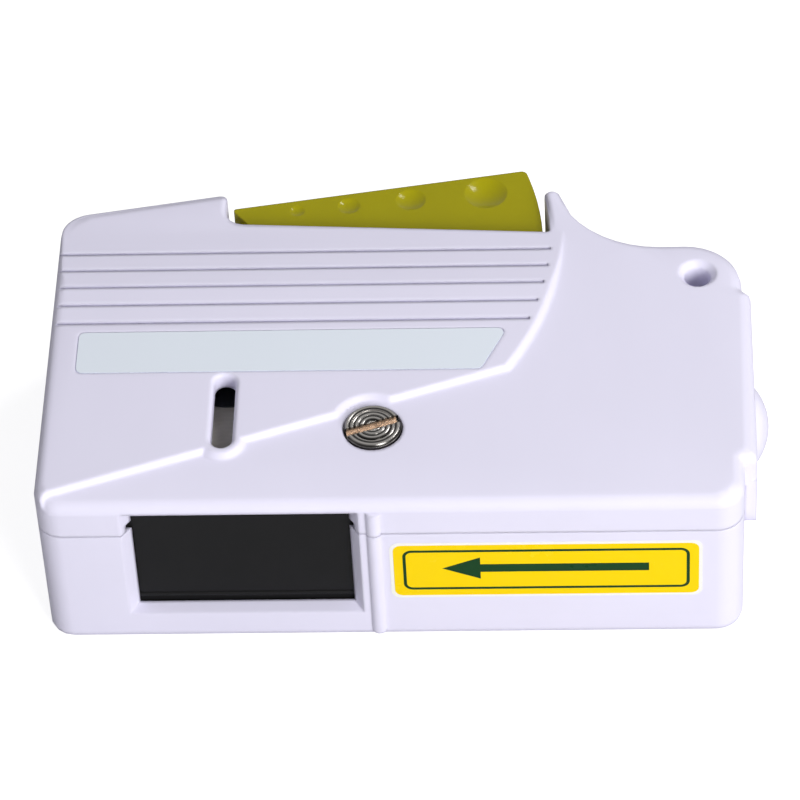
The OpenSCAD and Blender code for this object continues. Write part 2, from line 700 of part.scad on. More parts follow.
// Lever: two side walls, a thumb plate, an end wall, a bored boss and the toothed sector
lever_boss_r = 4;
lever_plate_t = 1.8;
lever_left_gap = 0.6;
lever_left_x = hump_l + lever_left_gap;
lever_hook = [3.1, 3.8];
lever_neck = 1.5;
lever_top_a = asin((lever_y1 - pivot_y) / lever_r);
lever_arc_n = 6;
lever_low_a = 0;
lever_corner_r = 1;
function lever_arc(r, a0, a1) = [for (k = [0 : lever_arc_n]) pivot + polar(r, a0 + (a1 - a0) * k / lever_arc_n)];
function lever_outline() =
    let (tip = pivot + polar(lever_r, lever_top_a), hook = [lever_left_x, lever_y0],
        low = [for (p = lever_arc(lever_r, lever_low_a, lever_top_a - 2)) [p.x, p.y, 0, 1]])
    fillet_path(concat([[pivot_x, pivot_y - lever_boss_r, 0, 1], [pivot_x + 2 * lever_boss_r,
            pivot_y - lever_boss_r, lever_boss_r, 1]], low,
        [[tip.x, tip.y, lever_corner_r, 1], [hook.x, hook.y, crisp_r, 1],
        [hook.x + lever_hook.x, hook.y - lever_hook.y, crisp_r, 1],
        [hook.x + lever_neck, pivot_y + lever_boss_r, crisp_r, 1],
        [pivot_x, pivot_y + lever_boss_r, 0, 1]]));
dimple_shares = [0.35, 0.52, 0.7, 1];
dimple_sink_share = 0.55;
dimple_place_shares = [0.225, 0.4, 0.61, 0.865];
dimple_drop = 2.75;
dimple_depth_share = 0.24;
module dimples() {
    tip = pivot + polar(lever_r, lever_top_a);
    hook = [lever_left_x, lever_y0];
    top = tip - hook;
    for (k = [0 : 3]) let (r = dimple_r * dimple_shares[k], depth = r * dimple_depth_share,
        ball = (r * r + depth * depth) / (2 * depth), p = hook + top * dimple_place_shares[k])
        translate([p.x, p.y - dimple_drop * (dimple_sink_share + dimple_shares[k]), lever_z1 + ball - depth]) sphere(r = ball);
}
sector_rim = 2.2;
sector_root = sector_r - dedendum;
tooth_a = 360 / sector_n;
gear_dir = atan2(gear_c.y - pivot_y, gear_c.x - pivot_x);
sector_first = round(gear_dir / tooth_a) - 2;
sector_count = ceil(lever_swing / tooth_a) + 4;
sector_arm_w = 8;
module lever() {
    color([0.62, 0.58, 0.02]) difference() {
        union() {
            difference() {
                slab(lever_outline(), lever_z0, lever_z1);
                lever_hollow();
            }
            rod(pivot, lever_boss_r, lever_z0, lever_z1);
            translate([0, 0, sector_z]) sector();
        }
        rod(pivot, lever_pin_r + run_gap, 0, case_t);
        dimples();
    }
}
hollow_lean = 2.4;
module lever_hollow() {
    top = unit(pivot + polar(lever_r, lever_top_a) - [lever_left_x, lever_y0]);
    inner_r = lever_r - lever_wall;
    start = [lever_left_x + lever_plate_t, lever_y0 - lever_plate_t];
    steps = lever_arc_n;
    end_a = lever_top_a - hollow_lean;
    low_y = pivot_y - 2 * lever_boss_r;
    difference() {
        slab(concat([[pivot_x - 2 * lever_boss_r, low_y], [pivot_x + inner_r, low_y]],
            [for (k = [0 : steps]) pivot + polar(inner_r, lever_low_a + (end_a - lever_low_a) * k / steps)],
            [start, [lever_left_x, pivot_y], [pivot_x - 2 * lever_boss_r, pivot_y + 2 * lever_boss_r]]),
            lever_z0 + lever_wall, lever_z1 - lever_wall);
        rod(pivot, lever_boss_r, lever_z0, lever_z1);
    }
    tube(pivot, spring_r + spring_wire, lever_boss_r - seat_gap, lever_z0 + lever_wall, lever_z1 - lever_wall);
}
// Half the angle that a tooth takes at a radius, by the involute
pressure = 25;
backlash = 0.12;
function involute(r, base) = let (c = min(1, base / r), a = acos(c)) tan(a) * 180 / PI - a;
function tooth_half(r, n) =
    let (pitch_r = module_mm * n / 2, base = pitch_r * cos(pressure))
    90 / n - backlash / 2 / pitch_r * 90 / PI + involute(pitch_r, base) - involute(max(r, base), base);
flank_n = 4;
function tooth(n, centre_a) =
    let (pitch_r = module_mm * n / 2, low = pitch_r - dedendum, high = pitch_r + addendum)
    concat([for (k = [0 : flank_n]) let (r = low + (high - low) * k / flank_n) polar(r, centre_a - tooth_half(r, n))],
        [for (k = [flank_n : -1 : 0]) let (r = low + (high - low) * k / flank_n) polar(r, centre_a + tooth_half(r, n))]);
function gear_path(n, phase) = [for (i = [0 : n - 1]) for (p = tooth(n, phase + i * 360 / n)) p];
// A tooth of one gear meets a gap of the other
function phase_to(n_a, phase_a, dir, n_b) =
    let (a = (dir - phase_a) * n_a / 360) dir + 180 - (0.5 - a) * 360 / n_b;
pinion_phase = phase_to(sector_n, 0, gear_dir, pinion_n);
ratchet_phase = phase_to(pinion_n, pinion_phase, takeup_turn, ratchet_n);
big_phase = -90;
// The spoke's half widths at the boss and at the rim, as shares of the arm's half width
spoke_shares = [0.95, 0.75, 0.6];
spoke_lean = 2.4;
module sector() {
    teeth = [for (i = [0 : sector_count]) for (p = tooth(sector_n, (sector_first + i) * tooth_a)) p];
    a0 = sector_first * tooth_a - tooth_a / 2;
    a1 = (sector_first + sector_count) * tooth_a + tooth_a / 2;
    r0 = sector_root - sector_rim;
    spoke_a = a1 - spoke_lean;
    spoke_dir = polar(1, spoke_a);
    side = turn_left(spoke_dir) * sector_arm_w / 2;
    translate([pivot.x, pivot.y, 0]) {
        linear_extrude(gear_t) polygon(concat(teeth, [polar(sector_root, a1)],
            [for (k = [0 : lever_arc_n]) polar(r0, a1 + (a0 - a1) * k / lever_arc_n)],
            [polar(sector_root, a0)]));
        linear_extrude(gear_t) polygon([side * spoke_shares[0], -side * spoke_shares[0], spoke_dir * (r0 + over) - side * spoke_shares[1],
            spoke_dir * (r0 + over) + side * spoke_shares[2]]);
    }
}
module lever_pin() {
    color("silver") rod(pivot, lever_pin_r, floor_t / 2, inner_z + socket_h - 2 * run_gap);
}

// Torsion spring round the lever's boss, as one tube along a helix with two straight legs
spring_turns = 3;
spring_pitch = 1.15;
spring_sides = 6;
spring_steps = 12;
spring_leg_a = 40;
spring_leg = 20;
function spring_point(t) =
    let (total = 360 * spring_turns + spring_leg_a, a = -90 + t * total)
    [pivot_x + spring_r * cos(a), pivot_y + spring_r * sin(a), spring_z + spring_pitch * t * total / 360];
module lever_spring() {
    n = spring_turns * spring_steps;
    first = spring_point(0);
    last = spring_point(1);
    centre = concat([[spring_stop_c.x - spring_stop_r, first.y, first.z]], [for (k = [0 : n]) spring_point(k / n)],
        [[last.x + spring_leg * cos(spring_leg_a), last.y + spring_leg * sin(spring_leg_a), last.z]]);
    color("silver") wire(centre, spring_wire / 2, spring_sides);
}
module wire(centre, r, sides) {
    n = len(centre);
    rings = [for (i = [0 : n - 1])
        let (ahead = unit(centre[min(i + 1, n - 1)] - centre[max(i - 1, 0)]),
            across = unit(cross(ahead, [0, 0, 1])), up = cross(across, ahead))
        for (k = [0 : sides - 1]) centre[i] + r * (across * cos(k * 360 / sides) + up * sin(k * 360 / sides))];
    faces = [for (i = [0 : n - 2]) for (k = [0 : sides - 1]) for (half = [0, 1])
        let (a = i * sides + k, b = i * sides + (k + 1) % sides)
        half == 0 ? [a, b, a + sides] : [b, b + sides, a + sides]];
    polyhedron(rings, concat(faces, [[for (k = [sides - 1 : -1 : 0]) k]],
        [[for (k = [0 : sides - 1]) (n - 1) * sides + k]]), convexity = 6);
}

// Shutter: a plate whose rims run on the wall, with a grip lip near its lower edge
shutter_lap = 1.3;
shutter_x0 = window_x0 - shutter_lap;
shutter_lap_far = 1.7;
shutter_l = window_x1 - window_x0 + shutter_lap + shutter_lap_far;
shutter_low_gap = 0.4;
shutter_z0 = floor_t + shutter_low_gap;
shutter_high_gap = 0.3;
shutter_z1 = inner_z - shutter_high_gap;
shutter_rim_w = 3;
grip_rise = 1.3;
grip_z = window_z0 + grip_rise;
grip_r = 0.32;
module shutter() {
    color([0.13, 0.13, 0.13]) {
        translate([shutter_x0, shutter_face_y, shutter_z0]) cube([shutter_l, shutter_t, shutter_z1 - shutter_z0]);
        translate([shutter_x0, shutter_face_y - shutter_rim, shutter_z0])
            cube([shutter_l, shutter_rim + seat_gap, shutter_rim_w]);
        translate([shutter_x0, shutter_face_y, grip_z]) rotate([0, 90, 0])
            cylinder(r = grip_r, h = shutter_l);
    }
}
// Rack: teeth along the stretch that passes the large gear
rack_pitch = PI * module_mm;
rack_travel = radians(lever_swing) * sector_r / pinion_r * big_r;
rack_x0 = gear_c.x - rack_travel - 2 * rack_pitch;
rack_x1 = gear_c.x + rack_pitch;
module shutter_rack() {
    back = tan(pressure);
    half = rack_pitch / 4 - backlash / 4;
    first = ceil((rack_x0 + rack_pitch - gear_c.x) / rack_pitch);
    last = floor((rack_x1 - rack_pitch - gear_c.x) / rack_pitch);
    low = rack_pitch_y - dedendum;
    high = rack_pitch_y + addendum;
    color([0.9, 0.9, 0.86]) slab(concat([[rack_x1, low], [rack_x1, shutter_back_y], [rack_x0, shutter_back_y],
        [rack_x0, low]], [for (i = [first : last]) for (p = [[-half - dedendum * back, low],
        [-half + addendum * back, high], [half - addendum * back, high], [half + dedendum * back, low]])
        [gear_c.x + (i + 0.5) * rack_pitch + p.x, p.y]]), big_z, big_z + gear_t);
}

// Holes that lighten the big wheel: their circle and their radius, as shares of the wheel's radius
web_n = 5;
web_shares = [0.62, 0.17];
module drive_gear() {
    color([0.95, 0.94, 0.9]) translate([gear_c.x, gear_c.y, 0]) difference() {
        union() {
            translate([0, 0, ratchet_z]) linear_extrude(big_z - ratchet_z - pass_gap)
                polygon(gear_path(pinion_n, pinion_phase));
            translate([0, 0, big_z - 2 * pass_gap]) cylinder(r = pinion_r - dedendum, h = gear_t);
            translate([0, 0, big_z]) linear_extrude(gear_t) polygon(gear_path(big_n, big_phase));
        }
        cylinder(r = pin_r + run_gap, h = case_t);
        for (k = [0 : web_n - 1]) rotate([0, 0, k * 360 / web_n]) translate([big_r * web_shares[0], 0, big_z - run_gap])
            cylinder(r = big_r * web_shares[1], h = gear_t + over);
    }
}
module gear_pin() {
    color("silver") rod(gear_c, pin_r, floor_t / 2, frame_z - pass_gap);
}

// Ratchet gear: the collar's sawteeth drive the pawls one way
collar_r = 7.2;
saw_n = 18;
saw_r = 6.3;
saw_d = 0.7;
collar_z = ratchet_z + gear_t;
collar_top = sector_z + gear_t;
saw_share = 0.92;
ratchet_hole_r = 1.5 * pin_r;
module ratchet_gear() {
    color([0.86, 0.9, 0.95]) translate([takeup_c.x, takeup_c.y, 0]) difference() {
        union() {
            translate([0, 0, ratchet_z]) linear_extrude(gear_t) polygon(gear_path(ratchet_n, ratchet_phase));
            translate([0, 0, collar_z - seat_gap]) cylinder(r = collar_r, h = collar_top - collar_z + seat_gap);
        }
        translate([0, 0, collar_z]) linear_extrude(collar_top)
            polygon([for (i = [0 : saw_n - 1]) for (k = [0, 1])
                polar(k == 0 ? saw_r - saw_d : saw_r, (i + k * saw_share) * 360 / saw_n)]);
        cylinder(r = pin_r + run_gap, h = case_t);
        for (k = [0 : 5]) rotate([0, 0, k * 60]) translate([(collar_r + ratchet_r) / 2, 0, 0])
            cylinder(r = ratchet_hole_r, h = case_t);
    }
}
module takeup_axle() {
    color("silver") rod(takeup_c, pin_r, floor_t / 2, axle_top);
}
hub_r = 3.2;
hub_z = collar_z + pass_gap;
hub_hex_r = 4.2;
hub_top = tape_top + pass_gap;
module takeup_hub() {
    color([0.2, 0.22, 0.25]) translate([takeup_c.x, takeup_c.y, 0]) difference() {
        union() {
            translate([0, 0, hub_z]) cylinder(r = hub_r, h = reel_z - hub_z);
            translate([0, 0, reel_z - pass_gap]) cylinder(r = hub_hex_r, h = hub_top - reel_z + pass_gap, $fn = 6);
        }
        cylinder(r = pin_r + run_gap, h = case_t);
    }
}
pawl_t = 1;
pawl_n = 3;
pawl_arm = 0.7;
pawl_span = 70;
module pawl_ring() {
    arm = pawl_arm;
    reach = saw_r - saw_d - run_gap;
    span = pawl_span;
    steps = 7;
    color([0.95, 0.6, 0.2]) translate([takeup_c.x, takeup_c.y, hub_z]) difference() {
        union() {
            cylinder(r = hub_r + arm, h = pawl_t);
            for (k = [0 : pawl_n - 1]) rotate([0, 0, k * 360 / pawl_n]) linear_extrude(pawl_t)
                polygon(concat([for (i = [0 : steps]) polar(hub_r + arm / 2 + (reach - hub_r - arm / 2) * i / steps,
                        span * i / steps)],
                    [for (i = [steps : -1 : 0]) polar(hub_r + (reach - arm - hub_r) * i / steps, span * i / steps)]));
        }
        translate([0, 0, -over]) cylinder(r = hub_r + seat_gap, h = pawl_t + 2 * over);
    }
}
// Take-up reel, its rear flange toothed for the backstop pawl
stop_n = 36;
stop_d = 0.8;
barrel_r = 6;
stop_share = 0.9;
// Three holes in the top flange, as shares of its radius
flange_shares = [0.64, 0.22];
module takeup_reel() {
    color([0.25, 0.27, 0.3]) translate([takeup_c.x, takeup_c.y, 0]) difference() {
        union() {
            translate([0, 0, reel_z]) linear_extrude(flange_t) polygon([for (i = [0 : stop_n - 1]) for (k = [0, 1])
                polar(takeup_flange_r - (1 - k) * stop_d, (i + k * stop_share) * 360 / stop_n)]);
            translate([0, 0, reel_z]) cylinder(r = barrel_r, h = tape_top + pass_gap - reel_z);
            translate([0, 0, tape_top + pass_gap]) cylinder(r = takeup_flange_r, h = flange_t);
        }
        translate([0, 0, reel_z - over]) cylinder(r = hub_hex_r + run_gap, h = hub_top - reel_z + over, $fn = 6);
        cylinder(r = hub_r - crisp_r, h = case_t);
        for (k = [0 : 2]) rotate([0, 0, 120 * k]) translate([takeup_flange_r * flange_shares[0], 0, tape_top])
            cylinder(r = takeup_flange_r * flange_shares[1], h = 2 * flange_t);
    }
}
module takeup_roll() {
    color([0.85, 0.83, 0.78]) tube(takeup_c, takeup_r, barrel_r + seat_gap, tape_z, tape_top);
}

spindle_r = 3;
supply_barrel_r = 8;
module supply_spindle() {
    color([0.9, 0.9, 0.92]) {
        rod(supply_c, spindle_r, frame_z, tape_top + pass_gap);
        rod(supply_c, 2 * spindle_r, frame_top, reel_z - run_gap);
    }
}
// Six holes in the barrel's end, as shares of its radius
barrel_shares = [0.7, 0.16];
module supply_reel() {
    color([0.25, 0.27, 0.3]) translate([supply_c.x, supply_c.y, 0]) difference() {
        union() {
            translate([0, 0, reel_z]) cylinder(r = supply_flange_r, h = flange_t);
            translate([0, 0, reel_z]) cylinder(r = supply_barrel_r, h = tape_top + pass_gap - reel_z);
        }
        cylinder(r = spindle_r + run_gap, h = case_t);
        for (k = [0 : 5]) rotate([0, 0, k * 60]) translate([supply_barrel_r * barrel_shares[0], 0, reel_z + flange_t])
            cylinder(r = supply_barrel_r * barrel_shares[1], h = case_t);
    }
}
module supply_roll() {
    color([0.93, 0.9, 0.84]) tube(supply_c, supply_r, supply_barrel_r + seat_gap, tape_z, tape_top);
}

// Tangent from a circle on one side of the tape to a circle on a side; side -1 crosses over
function tangent_dir(c1, r1, c2, r2, side, way) =
    let (d = c2 - c1) atan2(d.y, d.x) + way * acos((r1 - side * r2) / norm(d));
tape_in = roller_r + run_gap;
left_n = tangent_dir(supply_c, supply_r, roller_left_c, tape_in, 1, -1);
right_n = tangent_dir(roller_right_c, tape_in, takeup_c, takeup_r, -1, -1);
wrap_steps = 8;
function wrap(c, r, a0, a1) = [for (k = [0 : wrap_steps]) c + polar(r, a0 + (a1 - a0) * k / wrap_steps)];
function tape_side(extra) = concat(
    [supply_c + polar(supply_r + run_gap + extra, left_n)],
    wrap(roller_left_c, (tape_in + extra) / cos((270 - (left_n + 360) % 360) / wrap_steps / 2),
        (left_n + 360) % 360, 270),
    wrap(roller_right_c, (tape_in + extra) / cos((right_n + 90) / wrap_steps / 2), -90, right_n),
    [takeup_c - polar(takeup_r + run_gap - extra + tape_t, right_n)]);
module tape() {
    outer = tape_side(tape_t);
    n = len(outer);
    color([0.96, 0.95, 0.93]) slab(concat(outer, [for (i = [n - 1 : -1 : 0]) tape_side(0)[i]]), tape_z, tape_top);
}
roller_rim = 0.7;
module guide_roller(c) {
    color([0.9, 0.9, 0.86]) translate([c.x, c.y, 0]) difference() {
        union() {
            translate([0, 0, reel_z]) cylinder(r = roller_r, h = tape_top + pass_gap + roller_rim - reel_z);
            translate([0, 0, reel_z]) cylinder(r = roller_r + roller_rim, h = tape_z - reel_z - slide_gap);
            translate([0, 0, tape_top + slide_gap]) cylinder(r = roller_r + roller_rim, h = roller_rim);
        }
        cylinder(r = roller_pin_r + run_gap, h = case_t);
    }
}
module guide_roller_left() { guide_roller(roller_left_c); }
module guide_roller_right() { guide_roller(roller_right_c); }
roller_pin_head_r = 1.7 * roller_pin_r;
module roller_pins() {
    color("silver") for (c = [roller_left_c, roller_right_c]) {
        rod(c, roller_pin_r, frame_z + pass_gap, tape_top + 2 * roller_rim + pass_gap);
        rod(c, roller_pin_head_r, tape_top + pass_gap + roller_rim + run_gap, tape_top + 2 * roller_rim + pass_gap);
    }
}

// Cartridge frame: base plate, slotted window plate and the holder behind the pad
pad_in = 1.5;
pad_x0 = window_x0 + pad_in;
pad_l = window_x1 - window_x0 - 2 * pad_in;
pad_t = 3;
pad_y = tape_y + tape_t + run_gap;
holder_t = 1.5;
frame_corner = 3;
frame_gap_left = 2.5;
frame_left = wall + frame_gap_left;
frame_gap_right = 6;
frame_right = case_l - wall - frame_gap_right;
// The frame's outline passes each piece that it carries at these distances
frame_margins = [6, 9, 13, 12, 19, 14];
window_plate_gaps = [1.6, 1.4];
frame_post_y = posts[2].y;
frame_ear = 3.6;
frame_foot = 7;
slot_gap_w = 3.2;
slot_spread = 4.3;
module cartridge_frame() {
    plate_x0 = roller_left_c.x + roller_r + window_plate_gaps[0];
    plate_x1 = roller_right_c.x - roller_r - window_plate_gaps[1];
    color([0.82, 0.84, 0.88]) difference() {
        union() {
            slab(fillet_path([[frame_left, window_plate_y, frame_corner, 1],
                [roller_right_c.x + frame_margins[0], window_plate_y, frame_corner, 1],
                [roller_right_c.x + frame_margins[1], frame_post_y - frame_foot, frame_corner, 1],
                [frame_right, frame_post_y - frame_foot, frame_corner, 1],
                [frame_right, takeup_c.y + frame_margins[2], frame_corner, 1],
                [takeup_c.x - frame_margins[3], takeup_c.y + frame_margins[2], frame_corner, 1],
                [supply_c.x + frame_margins[4], supply_c.y - frame_margins[0], frame_corner, 1],
                [supply_c.x + frame_margins[5], posts[1].y + frame_ear, frame_corner, 1],
                [frame_left, posts[1].y + frame_ear, frame_corner, 1]]), frame_z, frame_top);
            translate([plate_x0, window_plate_y, frame_z])
                cube([plate_x1 - plate_x0, window_plate_t, tape_top + pass_gap - frame_z]);
            translate([pad_x0, pad_y + pad_t, frame_z]) cube([pad_l, holder_t, tape_top - frame_z]);
        }
        for (side = [-1, 1]) translate([pad_x0, window_plate_y - over, (tape_z + tape_top) / 2
            + side * slot_spread - slot_gap_w / 2]) cube([pad_l, window_plate_t + 2 * over, slot_gap_w]);
        rod(screw_c, body_r + pass_gap, 0, case_t);
        rod(takeup_c, hub_hex_r + over, 0, case_t);
        rod(supply_c, spindle_r + seat_gap, 0, case_t);
        rod(gear_c, pin_r + over, 0, case_t);
        for (c = [roller_left_c, roller_right_c]) rod(c, roller_pin_r + seat_gap, 0, case_t);
        for (p = posts) rod(p, frame_screw_r + run_gap, 0, case_t);
    }
}
module backing_pad() {
    color([0.35, 0.36, 0.38]) translate([pad_x0, pad_y, frame_top])
        cube([pad_l, pad_t, tape_top - frame_top]);
}
frame_screw_h = 0.9;
module frame_screws() {
    color("silver") for (p = posts) {
        rod(p, frame_screw_r, frame_z - frame_screw_l + crisp_r, frame_top);
        difference() {
            rod(p, frame_screw_head, frame_top, frame_top + frame_screw_h);
            translate([p.x - frame_screw_head, p.y - crisp_r / 2, frame_top + crisp_r])
                cube([2 * frame_screw_head, crisp_r, over]);
        }
    }
}
// Backstop pawl: a block on the frame and a bent leaf whose tip lies in the flange's teeth
stop_tip_a = -88.6;
stop_knee_a = 5.6;
stop_base_a = 26.6;
stop_reach = 2.6;
stop_block_r = 1.2 * pin_r;
module backstop_pawl() {
    r = takeup_flange_r;
    base = takeup_c + polar(r + stop_reach, stop_tip_a + stop_base_a);
    function at(away, a) = takeup_c + polar(r + away, stop_tip_a + a);
    color([0.95, 0.6, 0.2]) {
        rod(base, stop_block_r, frame_top, reel_z + flange_t);
        slab([at(stop_reach - crisp_r, stop_base_a), at(stop_reach + crisp_r, stop_base_a),
            at(stop_d, stop_knee_a), at(0, 0), at(-stop_d / 2, 0), at(stop_d / 3, stop_knee_a)],
            reel_z, reel_z + flange_t);
    }
}

// Latch button: a domed cap with a flange behind the tongue and a nose that pushes the latch
button_wall = 1.2;
button_hollow = 1.4;
dome_ball = (button_r * button_r + dome_h * dome_h) / (2 * dome_h);
button_face = case_l + tongue_t;
dome_steps = 6;
module latch_button() {
    dome_a = asin(button_r / dome_ball);
    inner = button_r - button_wall;
    color([0.94, 0.93, 0.98]) translate([flange_x, button_c.x, button_c.y]) rotate([0, 90, 0])
        rotate_extrude() polygon(concat(
            [[inner, 0], [button_r + button_flange, 0], [button_r + button_flange, button_flange],
                [button_r, button_flange]],
            [for (k = [0 : dome_steps]) let (a = dome_a * (1 - k / dome_steps))
                [dome_ball * sin(a), button_face - flange_x + dome_h - dome_ball * (1 - cos(a))]],
            [[0, 0], [pin_r, 0], [pin_r, button_hollow], [inner, button_hollow]]));
}
leaf_t = 0.5;
leaf_w = 6;
// Heights of the leaf's foot, of its slanted part and of its end
leaf_bends = [1.2, 2, 5];
module latch_spring() {
    x0 = case_l - wall - leaf_t - seat_gap;
    foot_z = floor_t;
    bend_z = button_c.y - button_r + leaf_bends[0];
    out = flange_x - slide_gap - leaf_t - x0;
    color("silver") translate([x0, button_c.x + leaf_w / 2, 0]) rotate([90, 0, 0]) linear_extrude(leaf_w)
        polygon([[0, foot_z], [leaf_t, foot_z], [leaf_t, bend_z], [out + leaf_t, bend_z + leaf_bends[1]],
            [out + leaf_t, button_c.y + leaf_bends[1]], [0, button_c.y + leaf_bends[2]], [-leaf_t, button_c.y + leaf_bends[2]],
            [out, button_c.y + leaf_bends[1] - leaf_t], [out, bend_z + leaf_bends[1] + leaf_t / 2], [0, bend_z + leaf_t / 2]]);
}

// The case's box is centred over the origin
lever_high = max([for (p = lever_outline()) p.y]);
front_y = ridge_proud;
module rest() {
    translate([-(button_face + dome_h) / 2, -(lever_high - front_y) / 2, 0]) children();
}

rest() rear_case();
rest() front_cover();
rest() name_plate();
rest() arrow_sticker();
rest() coin_screw();
rest() screw_retainer();
rest() screw_insert();
rest() lever();
rest() lever_pin();
rest() lever_spring();
rest() shutter();
rest() shutter_rack();
rest() drive_gear();
rest() gear_pin();
rest() ratchet_gear();
rest() takeup_axle();
rest() takeup_hub();
rest() pawl_ring();
rest() takeup_reel();
rest() takeup_roll();
rest() supply_spindle();
rest() supply_reel();
rest() supply_roll();
rest() tape();
rest() guide_roller_left();
rest() guide_roller_right();
rest() roller_pins();
rest() cartridge_frame();
rest() backing_pad();
rest() backstop_pawl();
rest() latch_button();
rest() latch_spring();
rest() frame_screws();
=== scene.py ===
"""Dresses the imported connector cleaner: materials on every CAD node, the printed sticker, camera and light."""

import math

import bmesh
import bpy
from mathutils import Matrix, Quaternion, Vector


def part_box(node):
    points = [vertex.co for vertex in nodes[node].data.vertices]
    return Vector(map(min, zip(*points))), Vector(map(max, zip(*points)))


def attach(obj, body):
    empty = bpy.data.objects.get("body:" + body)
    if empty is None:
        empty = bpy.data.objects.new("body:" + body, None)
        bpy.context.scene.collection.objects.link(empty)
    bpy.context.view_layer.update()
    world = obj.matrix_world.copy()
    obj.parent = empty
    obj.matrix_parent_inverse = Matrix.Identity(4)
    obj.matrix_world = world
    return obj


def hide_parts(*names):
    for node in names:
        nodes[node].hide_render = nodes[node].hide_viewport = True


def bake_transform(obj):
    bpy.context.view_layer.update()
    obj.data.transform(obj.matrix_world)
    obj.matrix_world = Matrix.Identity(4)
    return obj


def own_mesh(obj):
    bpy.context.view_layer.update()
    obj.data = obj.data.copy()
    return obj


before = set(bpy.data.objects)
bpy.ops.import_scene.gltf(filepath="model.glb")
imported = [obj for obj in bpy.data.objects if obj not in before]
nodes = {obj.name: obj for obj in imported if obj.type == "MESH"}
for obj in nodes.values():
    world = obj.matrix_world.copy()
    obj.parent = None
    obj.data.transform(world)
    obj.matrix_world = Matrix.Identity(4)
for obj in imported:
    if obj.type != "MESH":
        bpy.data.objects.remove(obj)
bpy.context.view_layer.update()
MM = 0.001

# Values that many finishes share
BEVEL_SAMPLES = 6
PLASTIC_IOR = 1.49
COAT_ROUGHNESS = 0.08
DEPTH_OF_LIGHT = (0.6 * MM, 0.5 * MM, 0.4 * MM)
MACHINED_EDGE = 0.05 * MM
LATHE_LINES = 0.0015 * MM
THREAD_DEPTH = 0.02 * MM


# Camera, at the photograph's viewing angle
CAMERA_AT = (0.033378, -0.535180, 0.570418)
CAMERA_TURN = (0.92717433, 0.37388446, 0.02344449, 0.00292123)
CAMERA_LENS = 205.53
camera = bpy.data.objects.new("camera", bpy.data.cameras.new("camera"))
bpy.context.scene.collection.objects.link(camera)
camera.data.lens = CAMERA_LENS
camera.data.sensor_width = 36
camera.data.clip_start = 0.05
camera.data.clip_end = 20
camera.rotation_mode = "QUATERNION"
camera.location = CAMERA_AT
camera.rotation_quaternion = Quaternion(CAMERA_TURN)
bpy.context.scene.camera = camera


# Node helpers
def srgb(r, g, b):
    """A linear colour from 0 to 255 display values."""
    return tuple((c / 255 / 12.92 if c / 255 <= 0.04045 else ((c / 255 + 0.055) / 1.055) ** 2.4)
                 for c in (r, g, b)) + (1.0,)


def scaled(color, share):
    return tuple(min(1.0, c * share) for c in color[:3]) + (1.0,)


class Nodes:
    """A material's node tree, with short calls to add to it."""

    def __init__(self, name):
        self.mat = bpy.data.materials.new(name)
        self.mat.use_nodes = True
        self.tree = self.mat.node_tree
        self.bsdf = self.tree.nodes["Principled BSDF"]
        self.coord = self.add("TexCoord").outputs["Object"]

    def add(self, kind, props=(), **inputs):
        node = self.tree.nodes.new("ShaderNode" + kind)
        for key, value in dict(props).items():
            setattr(node, key, value)
        for key, value in inputs.items():
            numbered = key[0] == "i" and key[1:].isdigit()
            self.put(node.inputs[int(key[1:]) if numbered else key.replace("_", " ")], value)
        return node

    def put(self, socket, value):
        if isinstance(value, bpy.types.NodeSocket):
            self.tree.links.new(value, socket)
        elif isinstance(value, bpy.types.Node):
            self.tree.links.new(value.outputs[0], socket)
        else:
            socket.default_value = value

    def set(self, **inputs):
        for key, value in inputs.items():
            self.put(self.bsdf.inputs[key.replace("_", " ")], value)
        return self

    def mapped(self, scale=(1, 1, 1), turn=(0, 0, 0), place=(0, 0, 0)):
        return self.add("Mapping", Vector=self.coord, Scale=scale, Rotation=turn, Location=place).outputs[0]

    def noise(self, scale, detail=3.0, roughness=0.5, vector=None):
        return self.add("TexNoise", Vector=self.coord if vector is None else vector, Scale=scale, Detail=detail,
                        Roughness=roughness).outputs[0]

    def math(self, operation, a, b=0.0, c=0.0):
        return self.add("Math", {"operation": operation}, i0=a, i1=b, i2=c).outputs[0]

    def ramp(self, value, stops):
        node = self.add("ValToRGB", Fac=value)
        ramp = node.color_ramp
        while len(ramp.elements) < len(stops):
            ramp.elements.new(0.5)
        for element, (at, color) in zip(ramp.elements, stops):
            element.position = at
            element.color = color if len(color) == 4 else tuple(color) + (1.0,)
        return node.outputs[0]

    def span(self, value, low, high):
        """value's middle range spread from low to high."""
        return self.add("MapRange", Value=value, From_Min=0.3, From_Max=0.7, To_Min=low, To_Max=high).outputs[0]

    def mix(self, share, a, b, how="MIX"):
        node = self.add("Mix", {"data_type": "RGBA", "blend_type": how})
        self.put(node.inputs[0], share)
        self.put(node.inputs[6], a)
        self.put(node.inputs[7], b)
        return node.outputs[2]

    def bump(self, height, strength, depth, normal=None):
        node = self.add("Bump", Height=height, Strength=strength, Distance=depth)
        if normal is not None:
            self.put(node.inputs["Normal"], normal)
        return node.outputs[0]

    def rounded(self, radius):
        return self.add("Bevel", {"samples": BEVEL_SAMPLES}, Radius=radius).outputs[0]

    def radius_at(self, x, y):
        """Distance from an axis along Z, in metres."""
        moved = self.add("VectorMath", {"operation": "SUBTRACT"}, i0=self.coord, i1=(x, y, 0)).outputs[0]
        parts = self.add("SeparateXYZ", Vector=moved)
        flat = self.add("CombineXYZ", X=parts.outputs[0], Y=parts.outputs[1])
        return self.add("VectorMath", {"operation": "LENGTH"}, i0=flat).outputs["Value"]


